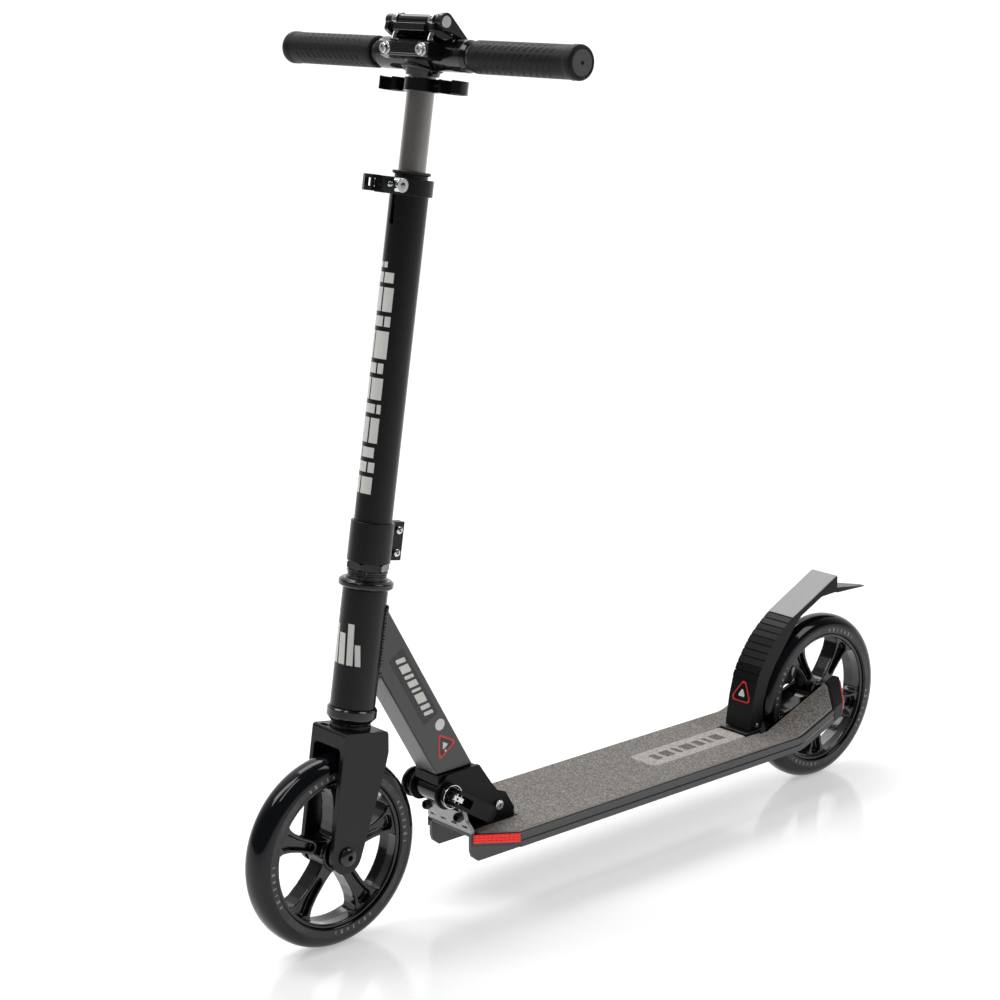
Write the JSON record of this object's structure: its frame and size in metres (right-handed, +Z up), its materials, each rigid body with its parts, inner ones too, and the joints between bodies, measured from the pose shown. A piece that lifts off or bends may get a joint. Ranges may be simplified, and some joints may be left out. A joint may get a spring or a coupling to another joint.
{
  "type": "kick scooter",
  "caption": "Folding kick scooter with inline wheels, a low deck with grip tape, a height-adjustable stem, pull-out handlebar grips and a rear foot brake.",
  "frame": {"origin": "on the ground under the middle of the overall box", "axes": "+Z up, front wheel towards -Y, the rider's left hand towards +X"},
  "size_m": [0.384, 0.8376, 0.8238],
  "materials": {
    "satin_black": "satin black powder coat",
    "black_aluminium": "satin black powder coat on aluminium",
    "gloss_black": "glossy black moulding",
    "urethane": "polished black polyurethane",
    "plastic": "fine-textured black plastic",
    "rubber": "matt black rubber with moulded slits",
    "chrome": "bright plated steel",
    "steel": "plain machined steel",
    "light_grey": "light grey satin paint",
    "anodised": "warm dark grey anodised",
    "grit": "speckled grit sheet",
    "red": "faceted red reflector"
  },
  "bodies": {
    "deck": {"deck_plate": "black_aluminium", "grip_tape": "grit", "front_plate": "light_grey", "fold_bracket": "satin_black", "fold_pivot_bolt": "chrome", "fold_skewer": "chrome", "skewer_bush": "satin_black", "front_reflector_left": "red", "front_reflector_right": "red", "rear_reflector_left": "red", "rear_reflector_right": "red", "arm_cap_left": "plastic", "arm_cap_right": "plastic", "rear_dropout_left": "satin_black", "rear_dropout_right": "satin_black", "rear_axle": "steel", "rear_axle_nut": "steel", "brake_bracket": "satin_black", "brake_pin": "steel", "brake_spring": "steel"},
    "fold_cam": {"fold_lever": "black_aluminium"},
    "brake": {"brake_fender": "plastic"},
    "rear_wheel": {"rear_tyre": "urethane", "rear_rim": "gloss_black", "rear_bearing_left": "steel", "rear_bearing_right": "steel"},
    "front_frame": {"head_tube": "black_aluminium", "down_tube": "black_aluminium", "fold_lug": "black_aluminium", "lower_cup": "gloss_black", "upper_cup": "gloss_black"},
    "steering": {"fork": "satin_black", "steerer": "steel", "head_washer": "chrome", "lock_nut": "gloss_black", "outer_stem": "black_aluminium", "stem_collar": "black_aluminium", "collar_bolt_1": "chrome", "collar_bolt_2": "chrome", "stem_bush": "plastic", "height_clamp": "black_aluminium", "height_skewer": "chrome", "front_axle": "steel", "front_axle_nut": "steel"},
    "height_cam": {"height_lever": "black_aluminium"},
    "front_wheel": {"front_tyre": "urethane", "front_rim": "gloss_black", "front_bearing_left": "steel", "front_bearing_right": "steel"},
    "stem_top": {"inner_stem": "anodised", "bar_cradle": "black_aluminium", "clamp_jaw": "black_aluminium", "eye_bolt_left": "chrome", "eye_bolt_right": "chrome", "storage_clip": "plastic"},
    "bar_cam": {"clamp_lever": "black_aluminium"},
    "handle_left": {"bar_left": "black_aluminium", "grip_left": "rubber"},
    "handle_right": {"bar_right": "black_aluminium", "grip_right": "rubber"}
  },
  "joints": [
    {"name": "fold", "type": "hinge", "parent": "deck", "child": "front_frame", "pos_m": [0, -0.145, 0.091], "axis": [-1, 0, 0], "range_deg": [0, 82]},
    {"name": "fold_lever_swing", "type": "hinge", "parent": "deck", "child": "fold_cam", "pos_m": [0.0303, -0.2075, 0.1165], "axis": [0, -0.5328, -0.8462], "range_deg": [0, 100]},
    {"name": "steer", "type": "hinge", "parent": "front_frame", "child": "steering", "pos_m": [0, -0.3223, 0.09], "axis": [0, 0.1564, 0.9877], "range_deg": [-90, 90]},
    {"name": "front_wheel_spin", "type": "hinge", "parent": "steering", "child": "front_wheel", "pos_m": [0, -0.329, 0.09], "axis": [1, 0, 0], "continuous": true},
    {"name": "rear_wheel_spin", "type": "hinge", "parent": "deck", "child": "rear_wheel", "pos_m": [0, 0.329, 0.09], "axis": [1, 0, 0], "continuous": true},
    {"name": "height_slide", "type": "slide", "parent": "steering", "child": "stem_top", "axis": [0, 0.1564, 0.9877], "range_m": [0, 0.2]},
    {"name": "height_lever_swing", "type": "hinge", "parent": "steering", "child": "height_cam", "pos_m": [-0.0175, -0.25415, 0.6801], "axis": [0, -0.1564, -0.9877], "range_deg": [0, 100]},
    {"name": "clamp_lever_swing", "type": "hinge", "parent": "stem_top", "child": "bar_cam", "pos_m": [0, -0.21941, 0.81635], "axis": [1, 0, 0], "range_deg": [0, 100]},
    {"name": "bar_left_pull", "type": "slide", "parent": "stem_top", "child": "handle_left", "axis": [1, 0, 0], "range_m": [0, 0.055]},
    {"name": "bar_right_pull", "type": "slide", "parent": "stem_top", "child": "handle_right", "axis": [-1, 0, 0], "range_m": [0, 0.055]},
    {"name": "brake_press", "type": "hinge", "parent": "deck", "child": "brake", "pos_m": [0, 0.22, 0.084], "axis": [-1, 0, 0], "range_deg": [0, 5], "stiffness_Nm_per_rad": 6, "springref_deg": -6.88}
  ]
}
